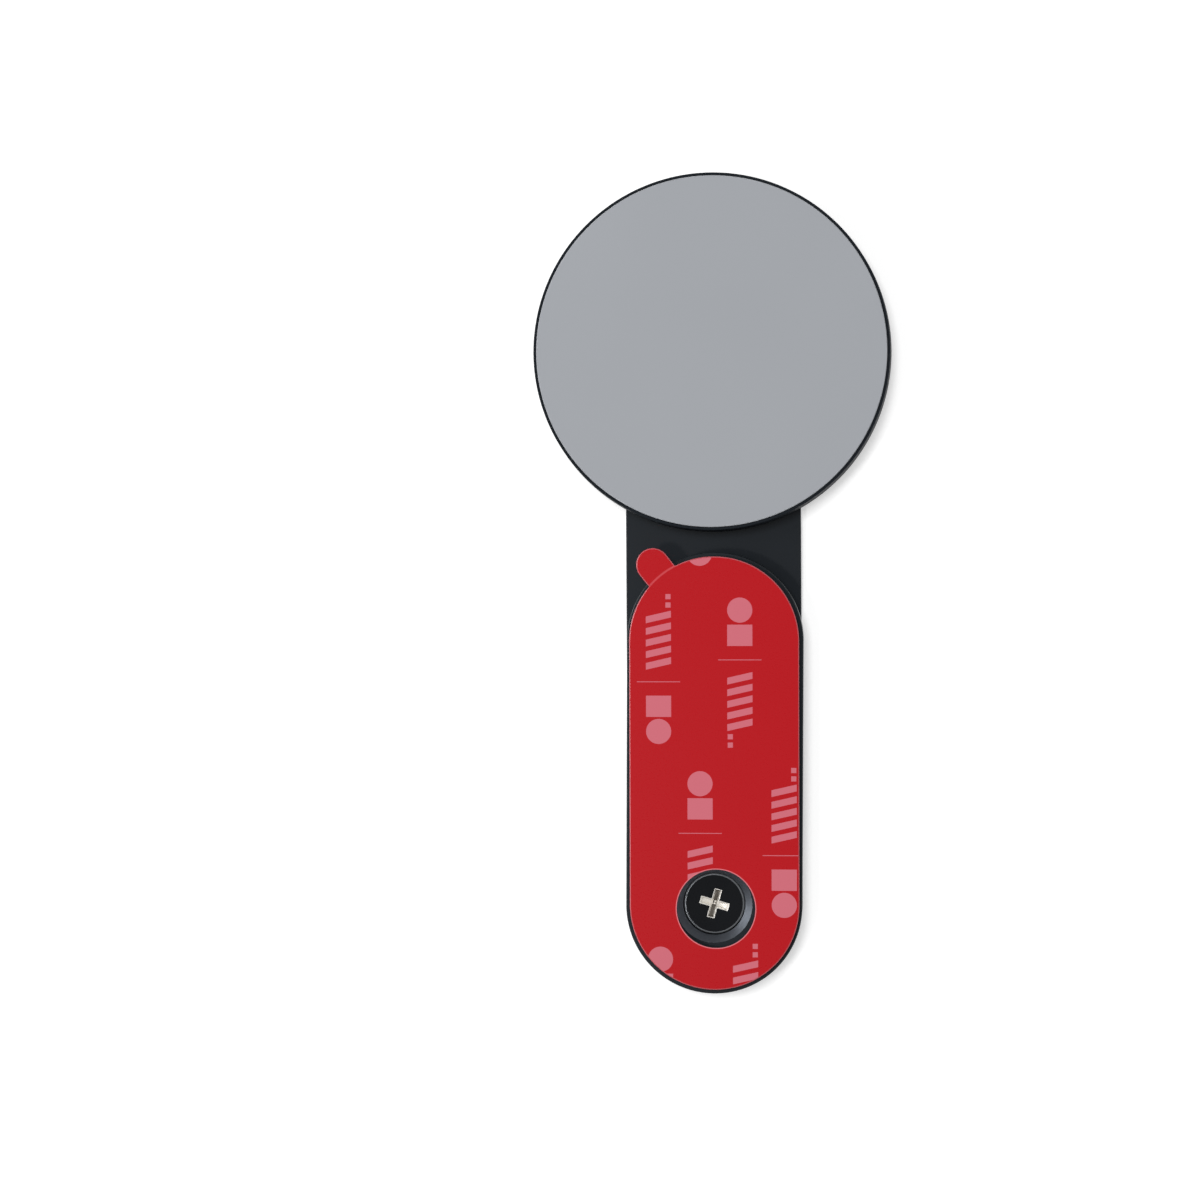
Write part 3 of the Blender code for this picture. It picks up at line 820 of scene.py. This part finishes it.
def wing(turn, floor_slot, grow=0.0, depth=RECESS_DEPTH, end_depth=RECESS_END_DEPTH):
    """One wing of the punch. Its floor slopes down to the middle, and its sides draw in."""
    bpy.ops.object.select_all(action="DESELECT")
    bpy.ops.mesh.primitive_cube_add(size=1, location=(0, 0, head_top - depth / 2))
    piece = bpy.context.object
    piece.scale = (RECESS_SPAN + 2 * grow, RECESS_WIDTH + 2 * grow, depth)
    bpy.ops.object.transform_apply(location=True, rotation=True, scale=True)
    edit(piece)
    bpy.ops.mesh.select_all(action="SELECT")
    bpy.ops.mesh.subdivide(number_cuts=1)
    for level, kept in zip((head_top - depth / 2, head_top - depth), WIDTH_KEPT):
        select_where("VERT", lambda vert: abs(vert.co.z - level) < TINY)
        bpy.ops.transform.resize(value=(1 - LENGTH_TAPER * (1 - kept), kept, 1))
    select_where("VERT", lambda vert: abs(vert.co.x) > RECESS_SPAN / 4)
    bpy.ops.transform.resize(value=(1, 1, end_depth / depth), center_override=(0, 0, head_top))
    select_where("FACE", lambda face: face.normal.z > 0.9)
    bpy.ops.mesh.extrude_region_move(TRANSFORM_OT_translate={"value": (0, 0, MM)})
    close()
    # The wing's walls get the bare steel with its painted highlight, and its floor the slot given
    dress(piece, bare_steel_highlight, recess_steel)
    edit(piece)
    paint(piece, floor_slot, lambda face: face.normal.z < -0.5)
    bpy.ops.object.mode_set(mode="OBJECT")
    settle(piece, (0, 0), turn)
    return piece


# The worn wings come first, and all their faces get the bare steel with its painted highlight.
# One is a tenth deeper, so that their floors don't lie in one plane.
wing_turns = [RECESS_TURN, RECESS_TURN + math.pi / 2]
for turn, depth in zip(wing_turns, (WORN_DEPTH, 1.1 * WORN_DEPTH)):
    combine(screw, wing(turn, 0, WORN_RIM, depth, depth))
# One deep wing's floor gets the painted highlight, and the other's the darker recess steel, which
# mirrors the dark ceiling
for floor_slot, turn in enumerate(wing_turns):
    combine(screw, wing(turn, floor_slot))
settle(screw, PIVOT)
# The worn edge lies only some 12 degrees off the top, and is kept apart from it
shade(screw, angle=8)
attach(screw, "arm")
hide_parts("pivot_screw")

# %% Turn the bush
FLANGE = 0.7 * MM
BUSH_FLOOR = 0.5 * MM
BUSH_ROUND = 0.12 * MM
NECK_RADIUS = 3.0 * MM
THREAD_RADIUS = SHANK_RADIUS + FIT
bush_bottom, bush_top = bush_low[2], bush_high[2]
bush = turned("bush_flanged", [
    (0, bush_bottom), (bush_radius, bush_bottom), (bush_radius, bush_bottom + FLANGE),
    (NECK_RADIUS, bush_bottom + FLANGE), (NECK_RADIUS, bush_top), (THREAD_RADIUS, bush_top),
    (THREAD_RADIUS, bush_bottom + BUSH_FLOOR), (0, bush_bottom + BUSH_FLOOR)], PIVOT_STEPS)
soften(bush, BUSH_ROUND, 3, lies_at(bush_bottom))
settle(bush, PIVOT)
dress(bush, zinc)
shade(bush)
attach(bush, "arm")
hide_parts("pivot_bush")

# %% [markdown]
# ## Table, light and camera
# The photograph has a white table, soft light from above and a little to the left, and a camera
# overhead. The table is white by its colour. Three lamps and the sky together light it at a level
# where a white of 1 renders as 1, so that every colour renders about as it is written. A large
# softbox overhead gives most of the light and the soft shadows. It isn't mirrored, because flat
# faces would show it as a grey veil. A small key lamp and a low one at the side are mirrored
# instead, and draw the bright lines along the machined edges.

# %% Lay the table
TABLE_SIZE = 4.0
TABLE_GAP = 0.02 * MM
PAPER_WHITE = (0.92, 0.92, 0.92, 1)
SEEN_WHITE = (0.76, 0.76, 0.76, 1)
SEEN_GLOW = 0.48
bpy.ops.object.select_all(action="DESELECT")
bpy.ops.mesh.primitive_plane_add(size=TABLE_SIZE, location=(0, 0, -TABLE_GAP))
floor = bpy.context.object
floor.name = "table"
paper = bpy.data.materials.new("table_white")
paper.use_nodes = True
tree = paper.node_tree
rays = add_node(tree, "ShaderNodeLightPath").outputs
seen = add_node(tree, "ShaderNodeMath", {0: rays["Is Camera Ray"], 1: rays["Is Glossy Ray"]},
                operation="MAXIMUM")
seen = add_node(tree, "ShaderNodeMath", {0: seen.outputs[0], 1: rays["Is Transmission Ray"]},
                operation="MAXIMUM")
# Seen straight, the table is partly a light of its own, so that its shadows stay as pale as those
# in the photograph. To all other rays it is plain white paper.
tone = add_node(tree, "ShaderNodeMix", {"Factor": seen.outputs[0], "A": PAPER_WHITE,
                                        "B": SEEN_WHITE}, data_type="RGBA")
glow = add_node(tree, "ShaderNodeMath", {0: seen.outputs[0], 1: SEEN_GLOW}, operation="MULTIPLY")
paper_shader = tree.nodes["Principled BSDF"]
paper_shader.inputs["Roughness"].default_value = 1.0
paper_shader.inputs["Specular IOR Level"].default_value = 0.0
paper_shader.inputs["Emission Color"].default_value = (1, 1, 1, 1)
tree.links.new(tone.outputs["Result"], paper_shader.inputs["Base Color"])
tree.links.new(glow.outputs[0], paper_shader.inputs["Emission Strength"])
dress(floor, paper)
print("table, m:", TABLE_SIZE)

# %% Light it
# The sky of the studio: white walls all round, under a dark ceiling where the camera hangs. Flat
# shiny faces mirror that ceiling, which keeps the blacks black and the red deep. The walls fade
# into the ceiling between two heights, where 0 is level with the table and 1 is overhead.
WALL_STRENGTH, CEILING_STRENGTH = 0.5, 0.13
WALL_TOP, CEILING_EDGE = 0.40, 0.90
world = bpy.data.worlds.new("studio")
bpy.context.scene.world = world
world.use_nodes = True
tree = world.node_tree
direction = add_node(tree, "ShaderNodeTexCoord").outputs["Generated"]
upward = add_node(tree, "ShaderNodeSeparateXYZ", {"Vector": direction}).outputs["Z"]
strength = add_node(tree, "ShaderNodeMapRange", {
    "Value": upward, "From Min": WALL_TOP, "From Max": CEILING_EDGE,
    "To Min": WALL_STRENGTH, "To Max": CEILING_STRENGTH}, interpolation_type="SMOOTHSTEP")
sky = tree.nodes["Background"]
sky.inputs["Color"].default_value = (1, 1, 1, 1)
tree.links.new(strength.outputs["Result"], sky.inputs["Strength"])


def lamp(name, place, width, height, watts):
    """A softbox that looks at the origin."""
    data = bpy.data.lights.new(name, "AREA")
    data.shape = "RECTANGLE"
    data.size, data.size_y = width, height
    data.energy = watts
    light = bpy.data.objects.new(name, data)
    bpy.context.collection.objects.link(light)
    light.location = place
    light.rotation_euler = Vector(place).to_track_quat("Z", "Y").to_euler()
    print(name, watts, "W")
    return light


overhead = lamp("softbox_overhead", (-0.085, 0.172, 0.90), 0.22, 0.22, 4.2)
overhead.visible_glossy = False
lamp("softbox_key", (-0.38, -0.14, 0.90), 0.10, 0.10, 0.95)
lamp("softbox_side", (-0.91, 0.17, 0.37), 0.55, 0.30, 4.4)

# %% Set the camera
# Its place, turn and lens are those that lay the model's edges over the photograph's
camera_data = bpy.data.cameras.new("camera")
camera_data.sensor_width = 36
camera_data.lens = 88.5
camera = bpy.data.objects.new("camera", camera_data)
bpy.context.collection.objects.link(camera)
camera.location = (19.02 * MM, 6.98 * MM, 463.72 * MM)
camera.rotation_euler = [math.radians(angle) for angle in (-1.209, 4.558, -0.346)]
bpy.context.scene.camera = camera
bpy.context.scene.view_settings.view_transform = "Standard"
print("camera above the table, mm:", round(camera.location.z / MM))
